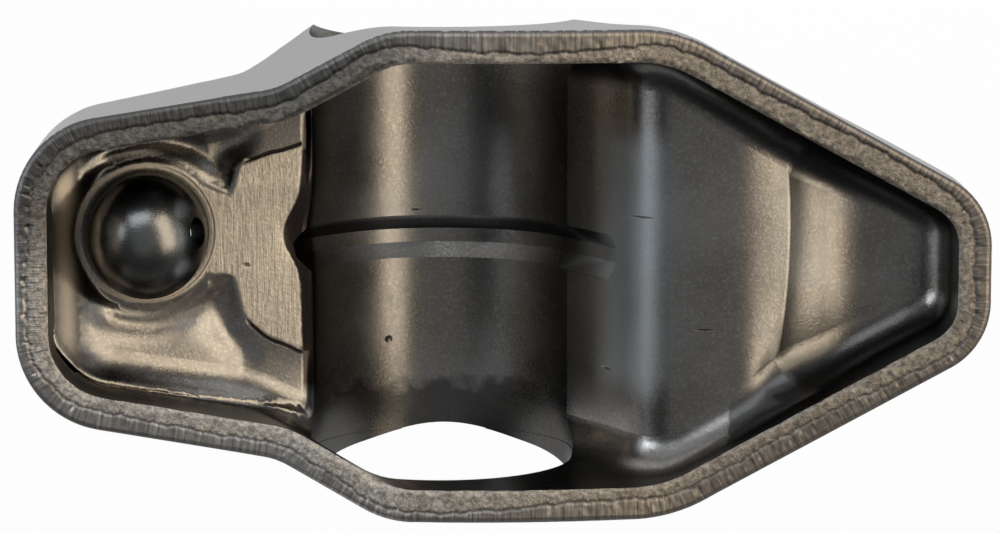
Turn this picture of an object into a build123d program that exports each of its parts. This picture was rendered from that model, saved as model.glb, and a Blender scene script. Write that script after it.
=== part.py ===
"""Shaft-mounted rocker arm, deep drawn from one blank of sheet steel.

The frame sits on the shaft axis, midway between the side walls: +X points to the
valve tip, +Y runs along the shaft and +Z leaves through the open side of the channel.
"""
import os
from math import cos, radians, sin, sqrt, tan

from build123d import *

# Sheet and forming
sheet = 2.7             # thickness of the pressed blank
draft = 0.5             # the walls lean in by this angle towards the belly, degrees
inner_corner = 3.0      # inside radius where the floor turns up into the walls
belly_bend = 3.0        # below this height the middle leans in towards the belly
belly_lean = 13.0       # by this angle, degrees
belly_corner = 7.0      # outside radius at its lower corners, seen along the arm
belly_run = 0.3         # the lean is struck this far below the belly

# Shaft bearing
shaft_bore = 22.25      # bore through both walls and along the saddle between them
bore_stock = 0.25       # metal the boring pass takes off the pressed saddle
breakout_depth = 0.9    # torn part of the pierced wall, on its outer side
breakout_flare = 0.3    # how much wider the torn part is, on the radius
saddle_ease = 0.06      # the burnished saddle is this much wider than the walls, on the radius
saddle_stop = 0.5       # and ends this far short of the inner wall face at the rim

# Outline seen from above, at the rim
push_reach = 34.8       # bore axis to the push rod end
valve_reach = 45.2      # bore axis to the valve end
push_end_half = 11.7    # half width at the push rod end
neck_x = -13.3          # the push rod walls start to flare out to the shaft here
neck_half = 15.3        # half width at that neck
shoulder_x = -4.9       # the flare reaches full width here
flare_lean = 17.0       # lower down the flare leans towards the push rod, degrees
push_lean = 2.0         # and the push rod end leans outwards, degrees
middle_half = 20.2      # half width across the shaft walls
taper_x = 19.2          # the walls start to close in on the valve tip here
valve_end_half = 6.0    # half width at the valve end
push_corner = 8.0       # corner radius at the push rod end
neck_round = 6.0
shoulder_round = 8.0
taper_round = 12.0
valve_corner = 6.2      # corner radius at the valve end

# Rim seen from the side
rim_end = 13.4          # height of the rim at both ends
rim_crown = 15.8        # height of the rim over the shaft
crown_x = 3.0           # the rim is highest here
crown_run = 17.0        # the rim rises over this distance on either side
crown_blend = 30.0      # radius where that rise starts
rim_roll = 0.5          # rolled outer edge left by the trimming shear

# Floor seen from the side, inside faces
socket_x = -24.9        # push rod socket from the bore axis
socket_y = 1.9          # the socket sits off the middle plane
push_floor = 1.5        # floor height at the socket
floor_tilt = 12.0       # the floor falls towards the saddle by this angle, degrees
saddle_lip = 2.0        # radius where the push rod floor turns down into the saddle
flare_angle = 60.0      # slope of the saddle on its valve side, degrees
hump_round = 5.0        # radius at the top of that slope
hump_start_z = 7.2      # height where the slope ends
hump_x = 23.0           # top of the hump between the saddle and the pad
hump_z = 8.0
crease_x = 28.8         # crease between the hump and the pad
crease_round = 0.8
pad_x = 36.8            # lowest line of the pad, over the valve stem
pad_z = 4.3
pad_radius = 13.0       # inside radius of the rolled pad

# Push rod socket
ball_radius = 3.97      # push rod ball
dome_skin = 1.3         # the sheet is drawn down to this over the ball
dome_rise = 2.3         # centre of the ball over the floor
socket_mouth = 10.0     # the socket opens downwards by this half angle, degrees
mouth_bevel = 0.7       # bevel round its mouth
ring_width = 0.6        # coined ring round the foot of the dome
coin_depth = 0.18       # depth of the coined faces
oil_hole = 2.5          # oil hole through the dome
oil_angle = 54.0        # its direction from the top of the dome towards the shaft
oil_swing = 9.0         # and round the dome from the middle plane, degrees

# Coined land beside the saddle
land_start_x = -16.9    # narrow edge of the land, towards the socket
land_start_half = 3.4
land_end_half = 8.6     # half width at the saddle

# Oil groove along the saddle and up its valve side
groove_half = 1.95      # half width at the saddle face
groove_floor_half = 0.6 # half width of its flat floor
groove_depth = 0.95
groove_run = 8.8        # length of the straight part on the valve side

margin = 6.0            # tools reach this far past the metal

# Sizes that follow
bore_radius = shaft_bore / 2
pressed_radius = bore_radius - bore_stock
dome_radius = ball_radius + dome_skin
belly_bottom = -pressed_radius - sheet
above_rim = rim_crown + margin
below_belly = belly_bottom - margin
far_left = -push_reach - margin
far_right = valve_reach + margin


def plan(inset, height):
    """The arm seen from above at one height, pulled in from its outline by inset."""
    drop = rim_end - height
    inset = inset + drop * tan(radians(draft))
    shift = drop * tan(radians(flare_lean))
    spread = drop * tan(radians(push_lean))
    corners = [
        (-push_reach, push_end_half + spread, push_corner),
        (neck_x - shift, neck_half + spread, neck_round),
        (shoulder_x - shift, middle_half, shoulder_round),
        (taper_x, middle_half, taper_round),
        (valve_reach, valve_end_half, valve_corner),
    ]
    upper = [(x, y) for x, y, _ in corners]
    lower = [(x, -y) for x, y in reversed(upper)]
    face = make_face(Polyline(*upper, *lower, close=True))
    for x, y, radius in corners:
        pair = [v for v in face.vertices() if abs(v.X - x) + abs(abs(v.Y) - y) < 0.01]
        face = fillet(pair, radius)
    return Pos(0, 0, height) * offset(face, -inset)


def drawn_walls(inset):
    """Everything inside the walls, leaning in by the draft all the way down."""
    return loft([plan(inset, below_belly), plan(inset, above_rim)], ruled=True)


def floor_height(x):
    """Height of the tilted floor at the push rod end."""
    return push_floor - (x - socket_x) * tan(radians(floor_tilt))


def above_floor(outset, lip_radius, hump_radius, crease_radius):
    """The space over the floor, seen from the side, grown outwards by outset."""
    fall = tan(radians(floor_tilt))
    reach = floor_height(0)
    across = sqrt(pressed_radius**2 * (1 + fall**2) - reach**2)
    start_x = (fall * reach - across) / (1 + fall**2)
    start = (start_x, floor_height(start_x))
    slope = radians(flare_angle)
    saddle_end = (pressed_radius * sin(slope), -pressed_radius * cos(slope))
    hump_start = (saddle_end[0] + (hump_start_z - saddle_end[1]) / tan(slope), hump_start_z)
    pad_run = pad_x - crease_x
    pad_drop = sqrt(pad_radius**2 - pad_run**2)
    crease = (crease_x, pad_z + pad_radius - pad_drop)
    pad_end = (pad_x + pad_run, crease[1])
    run_out = (far_right, pad_end[1] + (far_right - pad_end[0]) * pad_run / pad_drop)
    profile = [
        Line((far_left, floor_height(far_left)), start),
        ThreePointArc(start, (0, -pressed_radius), saddle_end),
        Line(saddle_end, hump_start),
        ThreePointArc(hump_start, (hump_x, hump_z), crease),
        ThreePointArc(crease, (pad_x, pad_z), pad_end),
        Polyline(pad_end, run_out, (far_right, above_rim), (far_left, above_rim)),
        Line((far_left, above_rim), (far_left, floor_height(far_left))),
    ]
    face = make_face(Curve() + profile)
    if outset:
        face = offset(face, outset, kind=Kind.INTERSECTION)
    for spot, radius in ((start, lip_radius), (hump_start, hump_radius), (crease, crease_radius)):
        corner = face.vertices().sort_by_distance((spot[0], spot[1] - outset, 0))[0]
        face = fillet(corner, radius)
    return Plane.XZ * face


def pressing(inset, side, corner):
    """A solid block of the drawn shape, rounded all along its lower edge."""
    body = drawn_walls(inset) & extrude(side, amount=2 * middle_half, both=True)
    below = [f for f in body.faces() if abs(f.normal_at().Y) < 1e-6 and f.normal_at().Z < -0.1]
    bounds = [edge for face in below for edge in face.edges()]
    lower = [e for e in body.edges() if sum(e.is_same(other) for other in bounds) == 1]
    return fillet(lower, corner) & belly_trough(inset)


def belly_trough(inset):
    """A long trough along the arm that narrows the deep middle."""
    half = middle_half + belly_run - inset
    low = belly_bottom - belly_run + inset
    low_half = half - (belly_bend - low) * tan(radians(belly_lean))
    section = make_face(Polyline(
        (half, above_rim),
        (half, belly_bend),
        (low_half, low),
        (-low_half, low),
        (-half, belly_bend),
        (-half, above_rim),
        close=True,
    ))
    section = fillet(section.vertices().group_by(Axis.Y)[0], belly_corner - inset)
    return Pos(far_left, 0, 0) * extrude(Plane.YZ * section, amount=far_right - far_left)


def along_shaft(radius, half):
    """A cylinder on the shaft axis."""
    return Rot(90, 0, 0) * Cylinder(radius, 2 * half)


def breakout(side):
    """The torn, wider part of one pierced wall."""
    cone = Cone(bore_radius, bore_radius + breakout_flare, breakout_depth)
    middle = middle_half - breakout_depth / 2
    return Pos(0, side * middle, 0) * Rot(-90 * side, 0, 0) * cone


def over_rim():
    """Everything above the trimmed rim."""
    crown_start = (crown_x - crown_run, rim_end)
    crown_end = (crown_x + crown_run, rim_end)
    line = [
        Line((far_left, rim_end), crown_start),
        ThreePointArc(crown_start, (crown_x, rim_crown), crown_end),
        Line(crown_end, (far_right, rim_end)),
        Polyline((far_right, rim_end), (far_right, 2 * above_rim), (far_left, 2 * above_rim)),
        Line((far_left, 2 * above_rim), (far_left, rim_end)),
    ]
    face = make_face(Curve() + line)
    for spot in (crown_start, crown_end):
        face = fillet(face.vertices().sort_by_distance((spot[0], spot[1], 0))[0], crown_blend)
    return extrude(Plane.XZ * face, amount=2 * middle_half, both=True)


def oil_groove():
    """The groove round the saddle, then straight up its valve side."""
    slope = radians(flare_angle)
    up = (cos(slope), 0, sin(slope))
    section_plane = Plane(origin=(0, 0, 0), x_dir=(0, 1, 0), z_dir=(-up[0], 0, -up[2]))
    outer_y = bore_radius + groove_depth
    section = section_plane * make_face(Polyline(
        (-groove_half, 0),
        (-groove_half, bore_radius),
        (-groove_floor_half, outer_y),
        (groove_floor_half, outer_y),
        (groove_half, bore_radius),
        (groove_half, 0),
        close=True,
    ))
    straight = extrude(section, amount=groove_run, dir=up)
    end_plane = Plane(
        origin=(bore_radius * up[2] + groove_run * up[0], 0, groove_run * up[2] - bore_radius * up[0]),
        z_dir=(up[2], 0, -up[0]),
    )
    tip = Cone(groove_half, groove_floor_half, groove_depth, align=(Align.CENTER, Align.CENTER, Align.MIN))
    stub = Cylinder(groove_half, bore_radius, align=(Align.CENTER, Align.CENTER, Align.MAX))
    return revolve(section, Axis.Y, 360) + straight + end_plane * tip + end_plane * stub


# The pressed block and the channel inside it
outside = pressing(0, above_floor(sheet, sheet, hump_round - sheet, sheet), inner_corner + sheet)
channel = pressing(sheet, above_floor(0, saddle_lip, hump_round, crease_round), inner_corner)

outside -= over_rim()
rim = [face for face in outside.faces() if face.normal_at().Z > 0.5]
rim_bounds = [edge for face in rim for edge in face.edges()]
outer_rim = [e for e in rim_bounds if sum(e.is_same(other) for other in rim_bounds) == 1]
arm = fillet(outer_rim, rim_roll) - channel

# Shaft bore through both walls and the saddle, and the oil groove in it
arm -= along_shaft(bore_radius, middle_half + margin)
arm -= along_shaft(bore_radius + saddle_ease, middle_half - sheet - saddle_stop)
arm -= breakout(1)
arm -= breakout(-1)
arm -= oil_groove()

# Coined land beside the saddle, flat with the tilted floor
floor_plane = Plane(
    origin=(socket_x, socket_y, push_floor),
    x_dir=(cos(radians(floor_tilt)), 0, -sin(radians(floor_tilt))),
    z_dir=(sin(radians(floor_tilt)), 0, cos(radians(floor_tilt))),
)
land_start = land_start_x - socket_x
land_end = -pressed_radius - saddle_lip / 2 - socket_x
land = make_face(Polyline(
    (land_start, -land_start_half),
    (land_start, land_start_half),
    (land_end, land_end_half - socket_y),
    (land_end + saddle_lip, land_end_half - socket_y),
    (land_end + saddle_lip, -land_end_half - socket_y),
    (land_end, -land_end_half - socket_y),
    close=True,
))
arm -= extrude(floor_plane * Pos(0, 0, -coin_depth) * land, amount=margin)

# Push rod socket: a dome drawn up into the channel, hollow from below
ring = Cylinder(dome_radius + ring_width, dome_rise, align=(Align.CENTER, Align.CENTER, Align.MIN))
arm -= floor_plane * Pos(0, 0, -coin_depth) * ring
stem = Cylinder(dome_radius, dome_rise + sheet / 2, align=(Align.CENTER, Align.CENTER, Align.MAX))
arm += floor_plane * Pos(0, 0, dome_rise) * (Sphere(dome_radius) + stem)
mouth_angle = radians(socket_mouth)
mouth_top = dome_rise - ball_radius * sin(mouth_angle)
mouth_length = mouth_top + sheet + margin
throat = ball_radius * cos(mouth_angle)
down = (Align.CENTER, Align.CENTER, Align.MAX)
mouth = Cone(throat + mouth_length * tan(mouth_angle), throat, mouth_length, align=down)
arm -= floor_plane * Pos(0, 0, mouth_top) * mouth
bevel_start = mouth_bevel - sheet
bevel_radius = throat + (mouth_top - bevel_start) * tan(mouth_angle)
bevel = Cone(bevel_radius + margin, bevel_radius, margin, align=down)
arm -= floor_plane * Pos(0, 0, bevel_start) * bevel
arm -= floor_plane * Pos(0, 0, dome_rise) * Sphere(ball_radius)
drill = Cylinder(oil_hole / 2, dome_radius + margin, align=(Align.CENTER, Align.CENTER, Align.MIN))
arm -= floor_plane * Pos(0, 0, dome_rise) * Rot(0, 0, oil_swing) * Rot(0, oil_angle, 0) * drill

os.makedirs("parts", exist_ok=True)
export_step(arm, "parts/rocker_arm.step")
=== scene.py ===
import math

import bmesh
import bpy
import numpy as np
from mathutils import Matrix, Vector


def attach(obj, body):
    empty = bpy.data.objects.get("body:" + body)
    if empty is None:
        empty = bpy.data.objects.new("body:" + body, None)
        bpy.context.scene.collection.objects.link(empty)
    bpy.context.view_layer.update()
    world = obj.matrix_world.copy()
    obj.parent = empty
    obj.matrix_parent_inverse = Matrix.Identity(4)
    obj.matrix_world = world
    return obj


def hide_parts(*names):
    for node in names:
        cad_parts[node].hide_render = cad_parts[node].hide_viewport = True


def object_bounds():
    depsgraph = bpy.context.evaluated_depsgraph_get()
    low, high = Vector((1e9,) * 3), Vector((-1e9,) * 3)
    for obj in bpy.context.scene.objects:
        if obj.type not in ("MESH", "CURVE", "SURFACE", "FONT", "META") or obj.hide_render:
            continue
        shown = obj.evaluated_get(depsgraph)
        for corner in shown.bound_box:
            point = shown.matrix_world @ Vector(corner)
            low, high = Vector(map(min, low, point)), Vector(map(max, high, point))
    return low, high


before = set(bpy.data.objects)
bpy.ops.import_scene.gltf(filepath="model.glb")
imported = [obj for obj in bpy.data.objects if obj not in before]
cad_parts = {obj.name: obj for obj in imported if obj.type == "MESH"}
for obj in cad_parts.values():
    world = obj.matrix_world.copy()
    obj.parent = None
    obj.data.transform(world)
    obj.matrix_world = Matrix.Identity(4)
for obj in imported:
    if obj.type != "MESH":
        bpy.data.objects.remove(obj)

cad_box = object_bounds()

# ---------------------------------------------------------------------------------------
# Rocker arm. One blank of sheet steel, deep drawn into an open channel with a dome over
# the push rod ball, sheared along its rim, pierced and bored for the shaft. It is case
# hardened and lightly oiled, so the scale is brown black and the worked faces are bright.
# ---------------------------------------------------------------------------------------
MM = 0.001
sheet = 2.7                 # wall thickness, mm, as are all the sizes that follow
plain_facet = 4.0           # longest edge of the finished mesh
drawn_facet = 1.1           # the same over the hump and the valve pad
worked_facet = 0.55         # the same where the floor was coined or the rim sheared
bore_radius = 11.125
rim_corners = ((-34.8, 11.7, 8.0), (-13.3, 15.3, 6.0), (-4.9, 20.2, 8.0), (19.2, 20.2, 12.0),
               (45.2, 6.0, 6.2))                    # x, y and radius, mirrored across the arm
rim_end, rim_crown = 13.4, 15.8                     # height at the ends and over the shaft
crown_x, crown_spread = 3.0, 12.0
rim_chip = 0.30             # how deep the rim's inner edge is chipped
socket_x, socket_y, push_floor = -24.9, 1.9, 1.5
floor_tilt = math.radians(12.0)
dome_radius = 5.27
dome_rise = 2.3
dome_draw = 0.5             # how far the dome's valve side is drawn in
ring_outer = dome_radius + 0.6
land_outline = np.array(((-22.2, 6.8), (-17.9, 4.9), (-17.2, 7.5), (-14.6, 8.4), (-10.2, 9.4),
                         (-10.2, -9.0), (-12.2, -8.6), (-15.2, -7.1), (-16.8, -5.6),
                         (-17.8, -2.0), (-21.3, -1.7)))
valley_depth = 0.75         # of the floor just outside the ring and the land
floor_reach = 5.0           # how far from the walls the floor rises to them
end_wall_draw = 0.7         # how far the foot of the end wall is drawn out
notch_y, notch_spread = 1.4, 2.4                    # the break in the land's valve edge
notch_x, notch_depth = -12.0, 0.8
hump_fall = 0.6             # how far the hump's shoulder over the shaft is worn down
crease_x, crease_fall = 28.8, 0.20                  # between the hump and the valve pad


def rounded_outline(corners, steps):
    """The rim's outline as a closed run of points, from sharp corners and their radii."""
    loop = [np.array(c) for c in corners] + [np.array((x, -y, r)) for x, y, r in reversed(corners)]
    points = []
    for before, here, after in zip(loop[-1:] + loop[:-1], loop, loop[1:] + loop[:1]):
        into = (before - here)[:2] / np.linalg.norm((before - here)[:2])
        away = (after - here)[:2] / np.linalg.norm((after - here)[:2])
        half = math.acos(float(into @ away)) / 2
        bisector = (into + away) / np.linalg.norm(into + away)
        centre = here[:2] + bisector * here[2] / math.sin(half)
        first = here[:2] + into * here[2] / math.tan(half) - centre
        last = here[:2] + away * here[2] / math.tan(half) - centre
        for part in np.linspace(0, 1, steps):
            way = first * (1 - part) + last * part
            points.append(centre + way / np.linalg.norm(way) * here[2])
    return np.array(points)


def rim_run(points, outline):
    """How far each point lies along the outline and how far inside it, mm."""
    start, end = outline, np.roll(outline, -1, axis=0)
    side = end - start
    length = np.linalg.norm(side, axis=1)
    begun = np.concatenate(([0], np.cumsum(length)[:-1]))
    along, inside = np.empty(len(points)), np.empty(len(points))
    batch = 20000
    for low in range(0, len(points), batch):
        p = points[low:low + batch, None, :2]
        share = np.clip(((p - start) * side).sum(2) / length ** 2, 0, 1)
        gap = p - (start + share[..., None] * side)
        distance = np.linalg.norm(gap, axis=2)
        nearest = distance.argmin(1)
        row = np.arange(len(nearest))
        spans = (start[:, 1] > p[..., 1]) != (end[:, 1] > p[..., 1])
        rise = np.where(side[:, 1] == 0, 1, side[:, 1])
        crossing = start[:, 0] + (p[..., 1] - start[:, 1]) / rise * side[:, 0]
        within = (spans & (p[..., 0] < crossing)).sum(1) % 2 * 2 - 1
        along[low:low + batch] = begun[nearest] + share[row, nearest] * length[nearest]
        inside[low:low + batch] = distance[row, nearest] * within
    return along, inside


def step(edge_low, edge_high, value):
    """A smooth rise from 0 to 1 between two values."""
    share = np.clip((value - edge_low) / (edge_high - edge_low), 0, 1)
    return share * share * (3 - 2 * share)


def bell(value, middle, width):
    """1 at the middle, fading smoothly to 0 on both sides."""
    return np.exp(-((value - middle) / width) ** 2)


outline = rounded_outline(rim_corners, 12)
rim_length = np.linalg.norm(outline - np.roll(outline, 1, axis=0), axis=1).sum()


def rim_top(x):
    """The height of the sheared rim, which rises over the shaft, mm."""
    return rim_end + (rim_crown - rim_end) * bell(x, crown_x, crown_spread)


def above_floor(x, z):
    """How far a point lies above the push rod floor's plane."""
    return z - push_floor + (x - socket_x) * math.tan(floor_tilt)


def from_socket(x, y):
    """How far a point lies from the middle of the push rod socket, seen from above."""
    return np.hypot(x - socket_x, y - socket_y)


def ripple(along, waves, seed):
    """An uneven line round the rim, between about -1 and 1, that closes on itself."""
    phases = np.random.default_rng(seed).uniform(0, 2 * math.pi, len(waves))
    turn = along / rim_length * 2 * math.pi
    total = sum(np.sin(wave * turn + phase) for wave, phase in zip(waves, phases))
    return total / len(waves) ** 0.5


def shear_line(along):
    """Where across the rim the smooth cut gives way to the torn edge, from 0 to 1."""
    broad, fine = ripple(along, (2, 3, 5, 9), 4), ripple(along, (31, 47, 83, 131), 7)
    return 0.50 + 0.13 * broad + 0.03 * fine


def worked_rim(points):
    """How far the rim stands above or below its clean cut, never above 0."""
    along, inside = rim_run(points, outline)
    across = inside / sheet
    past_shear = across - shear_line(along)
    torn = step(-0.06, 0.10, past_shear)
    seam = bell(past_shear, 0.0, 0.07)
    rough = ripple(along, (90, 127, 171, 233, 310), 11) * np.sin(across * 9 + along)
    serrated = 1 + 3.0 * step(32.5, 34.0, -points[:, 0])
    chipped = step(0.88 + 0.07 * ripple(along, (23, 41, 67, 101), 5), 1.04, across)
    fallen = 0.07 * torn + 0.02 * seam + rim_chip * chipped
    ridges = 0.03 * serrated * rough * step(0.12, 0.3, across)
    return np.minimum(ridges - 0.02 - fallen, 0)


def worked_floor(points, inside):
    """How far coining left the push rod floor up by the walls and down by the land, mm."""
    x, y, z = points.T
    over, from_dome = above_floor(x, z), from_socket(x, y)
    floor = step(-1.2, -0.5, over) * (1 - step(1.0, 3.4, over)) * (1 - step(-11.6, -11.0, x))
    from_land = -rim_run(points, land_outline)[1]
    from_ring = from_dome - ring_outer
    outside = np.minimum(from_land, from_ring)
    round_off = np.clip(3.0 - np.abs(from_land - from_ring), 0, None) ** 2 / 12.0
    valley = valley_depth * bell(outside - round_off, 1.6, 1.3) * step(0, 0.6, outside)
    valley *= step(-31.0, -28.0, x) * (1 - step(-19.5, -15.0, x))
    far_fillet = over * step(0, 0.3, over) * (1 - step(0.9, 3.6, over)) * step(3.5, 6.0, y)
    upper_fall = 0.17 * np.clip(y - 5.5, 0, 6) * step(4.0, 7.0, y) * step(5.9, 8.0, from_dome)
    from_wall = np.clip(inside - sheet, 0, floor_reach)
    lower = 1 - step(0.0, 6.0, y)
    sweep = 0.8 * (1 - from_wall / floor_reach) ** 2 * step(5.9, 7.2, from_dome) * lower
    end_rise = 0.42 * np.clip(-30.4 - x, 0, 2.4) + 0.09 * np.clip(-17.0 - x, 0, 14)
    end_rise *= step(0.0, 1.5, outside)
    return floor * (sweep + end_rise - valley - upper_fall - 0.5 * far_fillet)


def worked_valve_end(x, y, z):
    """How far the crease and the hump's shoulder have moved along and down."""
    over_crease = step(24.5, 28.6, x) * (1 - step(crease_x, 32.0, x))
    inner = step(2.0, 4.5, z) * (1 - step(8.5, 9.5, z)) * (1 - step(10.0, 13.0, np.abs(y)))
    bulge = 0.25 - 0.5 * ((y - 3) / 8) ** 2
    shoulder = step(5.0, 9.0, x) * (1 - step(11.5, 17.5, x)) * (1 - step(8.5, 12, z))
    shoulder *= 1 - step(15.0, 17.0, np.abs(y))
    along = bulge * bell(x, crease_x, 2.0) * inner
    down = crease_fall * over_crease * inner + hump_fall * shoulder * step(0.5, 4.5, z)
    return along, down


def worked(points):
    """Where the press, the shear and use have left each point."""
    x, y, z = points.T
    moved = points.copy()
    along, down = worked_valve_end(x, y, z)
    notch = bell(x, notch_x, 1.6) * bell(y, notch_y, notch_spread) * (1 - step(2.0, 4.0, z))
    valve_share = np.clip((x - socket_x + dome_radius) / dome_radius / 2, 0, 1)
    dome = step(0.2, 2.2, above_floor(x, z)) * (1 - step(6.0, 6.6, from_socket(x, y)))
    moved[:, 0] += along - notch_depth * notch - dome_draw * valve_share * dome
    moved[:, 2] -= down

    near = (x < -10.8) & (z < 9) & (z > -3.5)
    inside = rim_run(points[near], outline)[1]
    inner_skin = step(1.7, 2.4, inside)
    end_wall = (1 - step(-32.3, -30.7, x[near])) * (1 - step(5.0, 8.5, z[near]))
    moved[near, 0] -= end_wall_draw * end_wall * inner_skin
    moved[near, 2] += worked_floor(points[near], inside) * inner_skin

    below_top = rim_top(x) - z
    sheared = below_top < 0.9
    moved[sheared, 2] += worked_rim(points[sheared]) * step(0.9, 0.3, below_top[sheared])
    return moved


# The drawn shell's own faces, cut finer where they were worked, with their exact normals.
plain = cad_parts["rocker_arm"]
mesh = plain.data.copy()
mesh.name = "rocker_arm_steel"
normals = np.empty(len(mesh.loops) * 3, np.float32)
mesh.corner_normals.foreach_get("vector", normals)
stored = mesh.attributes.new("true_normal", "FLOAT_VECTOR", "CORNER")
stored.data.foreach_set("vector", normals)
bm = bmesh.new()
bm.from_mesh(mesh)
bmesh.ops.remove_doubles(bm, verts=bm.verts, dist=1e-8)
halvings = 9
for _ in range(halvings):
    long_edges = []
    for edge in bm.edges:
        x, y, z = (edge.verts[0].co + edge.verts[1].co) / 2 / MM
        coined = x < -10.4 and abs(y) < 11 and -0.8 < above_floor(x, z) < 3.5
        drawn = x > 8.5 and z > 0.3
        facet = drawn_facet if drawn else plain_facet
        if coined or z > rim_top(x) - 0.5:
            facet = worked_facet
        if edge.calc_length() > facet * MM:
            long_edges.append(edge)
    if not long_edges:
        break
    bmesh.ops.subdivide_edges(bm, edges=long_edges, cuts=1)
    bmesh.ops.triangulate(bm, faces=[f for f in bm.faces if len(f.verts) > 3])
bm.to_mesh(mesh)
bm.free()

co = np.empty(len(mesh.vertices) * 3, np.float32)
mesh.vertices.foreach_get("co", co)
co = co.reshape(-1, 3).astype(float) / MM
corner = np.empty(len(mesh.loops), np.int32)
mesh.loops.foreach_get("vertex_index", corner)
stored = mesh.attributes["true_normal"]
normals = np.empty(len(mesh.loops) * 3, np.float32)
stored.data.foreach_get("vector", normals)
mesh.attributes.remove(stored)
normals = normals.reshape(-1, 3).astype(float)
normals /= np.maximum(np.linalg.norm(normals, axis=1), 1e-9)[:, None]

# What the finish needs to know at each corner: where the rim was sheared, the land coined and the
# bore cut, which faces were the outside of the blank, and how much painted shade each inner wall
# gets.
place = co[corner]
x, y, z = place.T
along, inside = (run[corner] for run in rim_run(co, outline))
across = inside / sheet
upward = normals[:, 2]
on_rim = (upward > 0.35) & (z > 12.2) & (inside < sheet + 0.4)
radius = np.hypot(x, z)
on_bore = np.abs(radius - bore_radius) < 0.09
over_floor, from_dome = above_floor(x, z), from_socket(x, y)

normal_steps = 500          # normals closer than one part in this many are taken as one
key = np.column_stack((corner, np.round(normals * normal_steps).astype(int)))
_, unique, shared = np.unique(key, axis=0, return_index=True, return_inverse=True)
shared = shared.ravel()
ahead = rim_run(place[unique] + 0.3 * normals[unique], outline)[1][shared]
outer_side = (ahead < inside - 0.08) & (inside < 2.0) & ~on_rim | (upward < -0.2)
below = (over_floor < -0.6) | (x > 11.5)
outer_side |= below & (z < -0.3) & (radius > bore_radius + 1.6)

dome_lean = np.array((math.sin(floor_tilt), 0, math.cos(floor_tilt)))
dome_centre = np.array((socket_x, socket_y, push_floor)) + dome_lean * dome_rise
on_dome = np.linalg.norm(place - dome_centre, axis=1) < dome_radius + 0.05
on_dome |= (from_dome < dome_radius + 0.15) & (over_floor > 0.1)

torn_edge = ripple(along, (29, 47, 83), 8)
from_land_edge = rim_run(co, land_outline)[1][corner]
land_inside = from_land_edge + 0.07 * torn_edge
lip_line = -11.75 - 0.9 * bell(y, notch_y, notch_spread) + 0.1 * torn_edge
in_land = np.maximum(from_land_edge, ring_outer + 0.3 - from_dome)
in_land = np.minimum(in_land, lip_line - 0.15 - x)
on_floor = (np.abs(over_floor) < 0.9) & (upward > 0.3) & (x < -10.2)
on_floor &= from_dome > dome_radius + 0.1

# How much painted shade each inner wall gets: walls facing -y, and at the valve end both walls.
shaded_wall = np.where(x > 24, np.abs(normals[:, 1]), -normals[:, 1])
shaded_wall = np.clip(shaded_wall * np.where(x > -14, 1.0, 0.4), 0, 1)


def mark(name, *columns):
    """Keeps up to three numbers on each corner of the mesh."""
    values = np.zeros((len(corner), 3), np.float32)
    for i, column in enumerate(columns):
        values[:, i] = column
    layer = mesh.attributes.new(name, "FLOAT_VECTOR", "CORNER")
    layer.data.foreach_set("vector", values.ravel())


mark("rim_run", along, across, on_rim)
mark("shear", across - shear_line(along), x, x - lip_line)
mark("zones", in_land * on_floor, on_floor, on_dome)
mark("sides", outer_side, on_bore, shaded_wall)
mark("socket", from_dome, over_floor, land_inside)

# The moved faces' normals, from how two short steps along each face are moved.
nudge = 0.01
first = np.cross(normals[unique], (0.31, 0.55, 0.77))
first /= np.linalg.norm(first, axis=1)[:, None]
second = np.cross(normals[unique], first)
here = worked(place[unique])
bent = np.cross(worked(place[unique] + first * nudge) - here,
                worked(place[unique] + second * nudge) - here)
bent /= np.linalg.norm(bent, axis=1)[:, None]
bent = bent[shared]
mesh.vertices.foreach_set("co", (worked(co) * MM).astype(np.float32).ravel())
mesh.polygons.foreach_set("use_smooth", np.ones(len(mesh.polygons), bool))
mesh.normals_split_custom_set(bent.astype(np.float32).tolist())
mesh.update()


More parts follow.
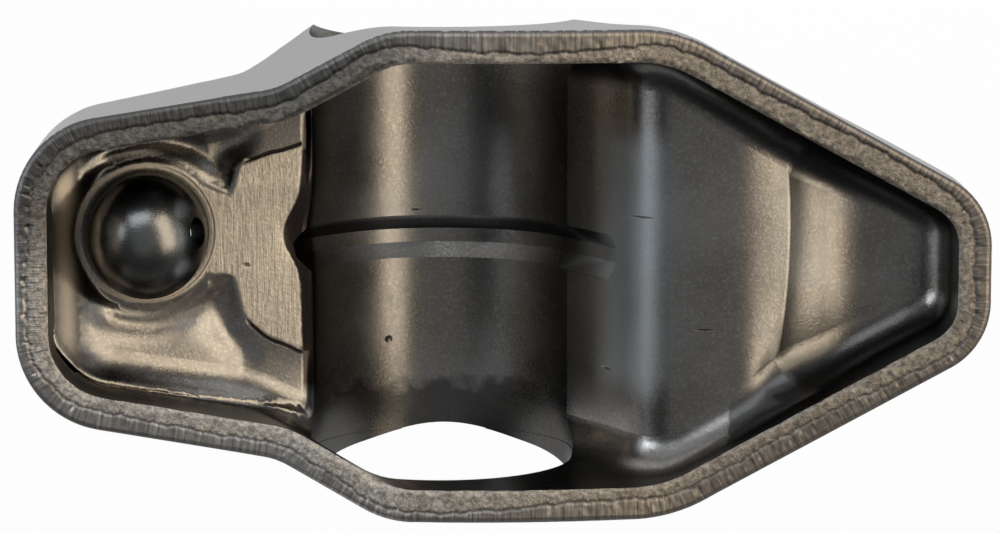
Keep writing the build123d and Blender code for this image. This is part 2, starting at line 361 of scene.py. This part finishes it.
class Value:
    """One output of a node tree. Arithmetic on it adds Math nodes."""

    def __init__(self, tree, socket):
        self.tree = tree
        self.socket = socket

    def node(self, kind, settings, sockets, output=0):
        """Adds a node: its settings first, then the values or links of its sockets."""
        made = self.tree.nodes.new(kind)
        for name, value in settings.items():
            setattr(made, name, value)
        for name, value in sockets.items():
            if isinstance(value, Value):
                self.tree.links.new(value.socket, made.inputs[name])
            else:
                made.inputs[name].default_value = value
        return Value(self.tree, made.outputs[output])

    def math(self, operation, *others, clamp=False):
        """Adds a Math node that works on this value and the others."""
        settings = {"operation": operation, "use_clamp": clamp}
        return self.node("ShaderNodeMath", settings, dict(enumerate((self, *others))))

    def __add__(self, other):
        return self.math("ADD", other)

    def __sub__(self, other):
        return self.math("SUBTRACT", other)

    def __rsub__(self, other):
        return self * -1 + other

    def __mul__(self, other):
        return self.math("MULTIPLY", other)

    __radd__ = __add__
    __rmul__ = __mul__

    def between(self, low, high):
        """0 below low, 1 above high, smooth between them."""
        return self.node("ShaderNodeMapRange", {"interpolation_type": "SMOOTHSTEP"},
                         {"Value": self, "From Min": low, "From Max": high})

    def noise(self, scale, detail=3.0, roughness=0.5):
        """Noise at this place, from 0 to 1, with scale in waves per metre."""
        sockets = {"Vector": self, "Scale": scale, "Detail": detail, "Roughness": roughness}
        return self.node("ShaderNodeTexNoise", {}, sockets)

    def stretched(self, x, y, z):
        """This place with its axes stretched."""
        stretch = {0: self, 1: (x, y, z)}
        return self.node("ShaderNodeVectorMath", {"operation": "MULTIPLY"}, stretch)

    def part(self, axis):
        """One of this vector's three numbers."""
        return self.node("ShaderNodeSeparateXYZ", {}, {0: self}, axis)

    def near(self, middle, inner, outer):
        """1 where this value is within inner of the middle, 0 beyond outer."""
        return 1 - (self - middle).math("ABSOLUTE").between(inner, outer)

    def blend(self, under, over):
        """A colour that goes from under to over as this value goes from 0 to 1."""
        return self.node("ShaderNodeMix", {"data_type": "RGBA"}, {0: self, 6: under, 7: over}, 2)


steel = bpy.data.materials.new("oiled_pressed_steel")
steel.use_nodes = True
tree = steel.node_tree
shader = tree.nodes["Principled BSDF"]
start = Value(tree, None)
spot = start.node("ShaderNodeTexCoord", {}, {}, "Object")
rim, shear, zones, sides, socket = (
    start.node("ShaderNodeAttribute", {"attribute_name": name}, {}, "Vector")
    for name in ("rim_run", "shear", "zones", "sides", "socket"))
rim_along, rim_across, rim_mask = (rim.part(i) for i in range(3))
past_shear, along_arm, past_lip = (shear.part(i) for i in range(3))
land_depth, floor_mask, dome_mask = (zones.part(i) for i in range(3))
outer_mask, bore_mask, wall_shade = (sides.part(i) for i in range(3))
from_middle, from_floor, past_land_edge = (socket.part(i) for i in range(3))
inner_mask = 1 - outer_mask
aside = spot.part(1).math("ABSOLUTE")

# Scale left from hardening: brown black, blotchy at a few millimetres, dusty at a tenth.
blotch = spot.noise(110, 3, 0.5).between(0.3, 0.75)
cloud = spot.noise(420, 5, 0.6)
dust = spot.noise(5200, 2, 0.6)
grit = spot.noise(3600, 3, 0.7)
base = blotch.blend((0.19, 0.175, 0.16, 1), (0.26, 0.255, 0.25, 1))
base = (cloud.between(0.5, 0.8) * 0.4).blend(base, (0.12, 0.11, 0.10, 1))
base = (grit.between(0.45, 0.75) * 0.55).blend(base, (0.40, 0.39, 0.38, 1))
# The outer faces are painted pale, as a painted reflection of the white table.
base = outer_mask.blend(base, (0.56, 0.56, 0.57, 1))
# Painted shade: the inner walls are darkened by how far they face -y, and at the valve end by how
# far they face either wall.
painted_wall_shade = (wall_shade * (1 - bore_mask)).between(0.03, 0.42) * inner_mask
base = (painted_wall_shade * 0.8).blend(base, (0.045, 0.045, 0.045, 1))

# Painted shade on the saddle beside the -y wall, with a scalloped edge.
saddle_painted_shade = (spot.part(1) * -1 + (cloud - 0.5) * 0.004).between(0.0122, 0.0136)
saddle_painted_shade = saddle_painted_shade * (1 - spot.part(0).math("ABSOLUTE").between(0.0105, 0.0118)) * inner_mask
base = (saddle_painted_shade * 0.75).blend(base, (0.045, 0.045, 0.045, 1))

# The dome is smoother and blacker than the floor, and down its sides it is painted darker still,
# as painted shade.
base = (dome_mask * 0.75).blend(base, (0.16, 0.163, 0.165, 1))
dome_side_painted_shade = dome_mask * from_middle.between(3.7, 5.0)
base = (dome_side_painted_shade * 0.85).blend(base, (0.03, 0.03, 0.03, 1))

# The rim: burnished outside, where the shear bit, then torn and grainy on the inside.
edge_wave = start.node("ShaderNodeCombineXYZ", {}, {0: rim_along, 1: 0.0})
split = past_shear + (edge_wave.noise(2.5, 2, 0.6) - 0.5) * 0.12
torn = split.between(-0.02, 0.05)
line = split.between(-0.12, -0.01) * (1 - split.between(0.0, 0.10))
striae_at = start.node("ShaderNodeCombineXYZ", {}, {0: rim_along * 3.2, 1: rim_across * 0.5})
striae = striae_at.noise(1.0, 4, 0.65)
grain = spot.noise(2600, 5, 0.7)
burnished = striae.between(0.3, 0.72).blend((0.20, 0.19, 0.18, 1), (0.56, 0.53, 0.50, 1))
rough_metal = grain.between(0.3, 0.75).blend((0.26, 0.24, 0.22, 1), (0.70, 0.66, 0.60, 1))
rim_colour = torn.blend(burnished, rough_metal)
# The rim is darker and warmer towards the valve end, and on the far side of the push rod end it
# carries painted shade.
valve_end = spot.part(0).between(-0.012, 0.022)
rim_tint_and_shade = valve_end.blend((1.0, 1.0, 1.0, 1), (0.70, 0.66, 0.62, 1))
shaded = spot.part(1).between(-0.002, 0.006) * (1 - spot.part(0).between(-0.008, 0.004))
rim_tint_and_shade = (shaded * 0.8).blend(rim_tint_and_shade, (0.25, 0.25, 0.25, 1))
rim_colour = start.node("ShaderNodeMix", {"data_type": "RGBA", "blend_type": "MULTIPLY"},
                        {0: 1.0, 6: rim_colour, 7: rim_tint_and_shade}, 2)
seam = edge_wave.noise(1.6, 3, 0.7).between(0.35, 0.6)
rim_colour = (line * (0.08 + seam * 0.42)).blend(rim_colour, (0.05, 0.048, 0.045, 1))
rolled = 1 - rim_across.between(0.03, 0.13)
rim_colour = (rolled * 0.8).blend(rim_colour, (0.09, 0.09, 0.09, 1))
base = rim_mask.blend(base, rim_colour)

# The ring coined round the foot of the dome: a painted highlight on its edge, with a line of
# painted shade inside it.
ring_highlight_radius, gap_radius = 5.76, 5.42
near_floor = 1 - from_floor.math("ABSOLUTE").between(0.5, 0.9)
ring_painted_highlight = from_middle.near(ring_highlight_radius, 0.06, 0.22) * near_floor
gap_painted_shade = from_middle.near(gap_radius, 0.05, 0.20) * near_floor

# The coined land, with the fine lines of its punch across the arm. Its metal has folded over at
# the sides, with painted shadow along the folds, and beyond its valve edge the floor is painted
# black as shadow.
land_edge = land_depth + (spot.noise(900, 2, 0.5) - 0.5) * 0.3
land_mask = floor_mask * land_edge.between(0.0, 0.35)
lip_fold_and_shadow = past_land_edge.near(-0.1, 0.06, 0.20) * floor_mask
lip_fold_and_shadow = lip_fold_and_shadow * along_arm.between(-16.9, -16.2) * (1 - along_arm.between(-12.1, -11.9))
past_land_painted_shadow = past_lip.between(-0.35, -0.1) * (1 - along_arm.between(-11.0, -10.6))
past_land_painted_shadow = past_land_painted_shadow * (1 - aside.between(0.0112, 0.0125))
lines_at = spot.stretched(1, 0.06, 1)
lines = lines_at.noise(6500, 3, 0.6)
land_colour = (lines * 0.6 + grain * 0.4).between(0.36, 0.62)
land_colour = land_colour.blend((0.46, 0.41, 0.35, 1), (0.78, 0.71, 0.62, 1))
base = (land_mask * 0.9).blend(base, land_colour)
base = (gap_painted_shade * 0.3).blend(base, (0.10, 0.09, 0.08, 1))
base = (ring_painted_highlight * 0.9).blend(base, (0.85, 0.79, 0.70, 1))
# A pale strip on the floor along the push rod end wall: a painted highlight, also made rougher.
end_painted_highlight = (1 - from_floor.between(0.4, 1.7)) * (0.7 + grit * 0.4)
end_painted_highlight = end_painted_highlight * (1 - along_arm.between(-31.2, -29.8)) * from_middle.between(5.9, 6.3)
end_painted_highlight = end_painted_highlight * inner_mask * (1 - rim_mask)
base = (end_painted_highlight * 0.9).blend(base, (0.78, 0.69, 0.58, 1))
base = (lip_fold_and_shadow.math("MAXIMUM", past_land_painted_shadow) * 0.95).blend(base, (0.03, 0.022, 0.02, 1))

# The hump's shoulder over the shaft is rubbed dull, and painted paler and bluer as a painted
# highlight.
shoulder = along_arm.between(12.4, 14.8) * (1 - along_arm.between(15.6, 21.5))
shoulder = shoulder * inner_mask * (1 - rim_mask)
shoulder = shoulder * (1 - aside.between(0.009, 0.0125))
base = (shoulder * 0.6).blend(base, (0.34, 0.36, 0.38, 1))

# Pits and short scratches of handling: where each is, how long and how wide, in mm.
handling = ((16.8, 3.9, 1.1, 0.12), (22.0, -5.4, 0.9, 0.10), (-4.8, -9.0, 0.35, 0.35),
            (-16.6, -1.1, 0.40, 0.25), (-2.4, 2.3, 0.5, 0.16), (14.0, -9.5, 0.5, 0.15))
marks = 0.0
for mark_x, mark_y, long, wide in handling:
    run_off = (spot.part(0) - mark_x * MM) * (1 / long / MM)
    side_off = (spot.part(1) - mark_y * MM) * (1 / wide / MM)
    reach = (run_off * run_off + side_off * side_off) + spot.noise(2500, 2, 0.5)
    marks = (1 - reach.between(0.4, 1.5)) + marks
base = (marks * 0.75).blend(base, (0.07, 0.06, 0.05, 1))

# Gloss and fine relief. The worked faces are duller than the oiled scale.
roughness = 0.20 + blotch * 0.05 + cloud * 0.08 + dust * 0.06
roughness = roughness - dome_mask * 0.03 + shoulder * 0.22 + land_mask * 0.22 + ring_painted_highlight * 0.25
roughness = roughness + end_painted_highlight * 0.35
roughness = roughness + rim_mask * (0.18 + torn * 0.14)

height = cloud * 0.008 + dust * 0.007 + grit * 0.010
height = height + land_mask * (lines * 0.03 + grit * 0.03) - lip_fold_and_shadow * 0.12 - marks * 0.08
serrated = 1 - spot.part(0).between(-0.0338, -0.0318)
rim_height = (1 - torn) * striae * 0.03 + torn * grain * 0.10 - line * 0.05
rim_height = rim_height + serrated * torn * striae * 0.35
height = height + rim_mask * rim_height
bumped = start.node("ShaderNodeBump", {}, {"Strength": 1.0, "Distance": MM, "Height": height})

for name, value in (("Base Color", base), ("Roughness", roughness), ("Normal", bumped)):
    tree.links.new(value.socket, shader.inputs[name])
shader.inputs["Metallic"].default_value = 1.0
shader.inputs["Specular Tint"].default_value = (0.55, 0.55, 0.55, 1)

mesh.materials.clear()
mesh.materials.append(steel)
arm = bpy.data.objects.new("rocker_arm_steel", mesh)
bpy.context.scene.collection.objects.link(arm)
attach(arm, "root")
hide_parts("rocker_arm")

# ---------------------------------------------------------------------------------------
# Studio. The arm lies on its belly, open side up, on a white table. A warm lamp stands at
# the valve end, one cool lamp beyond the push rod end and one at the far side. Overhead
# there is only a faint glow, and the horizon is pale except on the near side.
# ---------------------------------------------------------------------------------------
aim = Vector((4.96, 0, 8.2)) * MM
tilt = math.radians(8.0)
camera_far = 341.88
camera = bpy.data.objects.new("camera", bpy.data.cameras.new("camera"))
camera.data.sensor_width = 36.0
camera.data.lens = 148.28
camera.data.clip_start = 0.01
camera.location = aim + Vector((0, math.sin(tilt), math.cos(tilt))) * camera_far * MM
camera.rotation_euler = (-tilt, 0, 0)
bpy.context.scene.collection.objects.link(camera)
bpy.context.scene.camera = camera


lamp_far = 0.6


def lamp(name, direction, size, power, colour):
    """A soft box that faces the arm from this direction."""
    light = bpy.data.lights.new(name, "AREA")
    light.shape = "RECTANGLE"
    light.size, light.size_y = size
    light.energy = power
    light.color = colour
    holder = bpy.data.objects.new(name, light)
    way = Vector(direction).normalized()
    holder.location = aim + way * lamp_far
    holder.rotation_euler = way.to_track_quat("Z", "Y").to_euler()
    bpy.context.scene.collection.objects.link(holder)


lamp("warm_lamp", (1.0, 0.34, 1.0), (0.72, 0.31), 2.4, (1.0, 0.86, 0.66))
lamp("cool_side_lamp", (-1.76, 0.49, 1.0), (0.24, 0.24), 1.05, (0.84, 0.93, 1.0))
lamp("cool_far_lamp", (-0.27, 1.0, 1.0), (0.44, 0.28), 0.95, (0.90, 0.95, 1.0))

table_mesh = bpy.data.meshes.new("table")
half_table = 3.0
table_z = cad_box[0].z
table_corners = [(-half_table, -half_table, table_z), (half_table, -half_table, table_z),
                 (half_table, half_table, table_z), (-half_table, half_table, table_z)]
table_mesh.from_pydata(table_corners, [], [(0, 1, 2, 3)])
table = bpy.data.objects.new("table", table_mesh)
bpy.context.scene.collection.objects.link(table)
white = bpy.data.materials.new("white_table")
white.use_nodes = True
tree = white.node_tree
tree.nodes.clear()
start = Value(tree, None)
seen = start.node("ShaderNodeLightPath", {}, {}, "Is Camera Ray")
glossy = start.node("ShaderNodeLightPath", {}, {}, "Is Glossy Ray")
lit = start.node("ShaderNodeBsdfDiffuse", {}, {"Color": (0.8, 0.8, 0.8, 1)})
glow = start.node("ShaderNodeEmission", {}, {"Color": (1, 1, 1, 1), "Strength": 1.0})
share = (seen + glossy).math("MULTIPLY", 0.97, clamp=True)
surface = start.node("ShaderNodeMixShader", {}, {0: share, 1: lit, 2: glow})
end = tree.nodes.new("ShaderNodeOutputMaterial")
tree.links.new(surface.socket, end.inputs["Surface"])
table_mesh.materials.append(white)

world = bpy.data.worlds.new("studio")
bpy.context.scene.world = world
world.use_nodes = True
tree = world.node_tree
start = Value(tree, None)
way = start.node("ShaderNodeTexCoord", {}, {}, "Generated")
height = way.part(2)
low_sky = 1 - height.between(0.15, 0.5)
near_side = 1 - (way.part(1) + 0.4).between(0.0, 0.34)
ceiling = height.between(0.84, 0.96)
seen = start.node("ShaderNodeLightPath", {}, {}, "Is Camera Ray")
sky = low_sky * (1.1 - near_side * 0.85) + near_side * 0.04 + ceiling * 0.26 + 0.03
sky = sky.math("MAXIMUM", seen)
tree.links.new(sky.socket, tree.nodes["Background"].inputs["Strength"])
tree.nodes["Background"].inputs["Color"].default_value = (0.95, 0.98, 1.0, 1)

bpy.context.scene.view_settings.view_transform = "Standard"
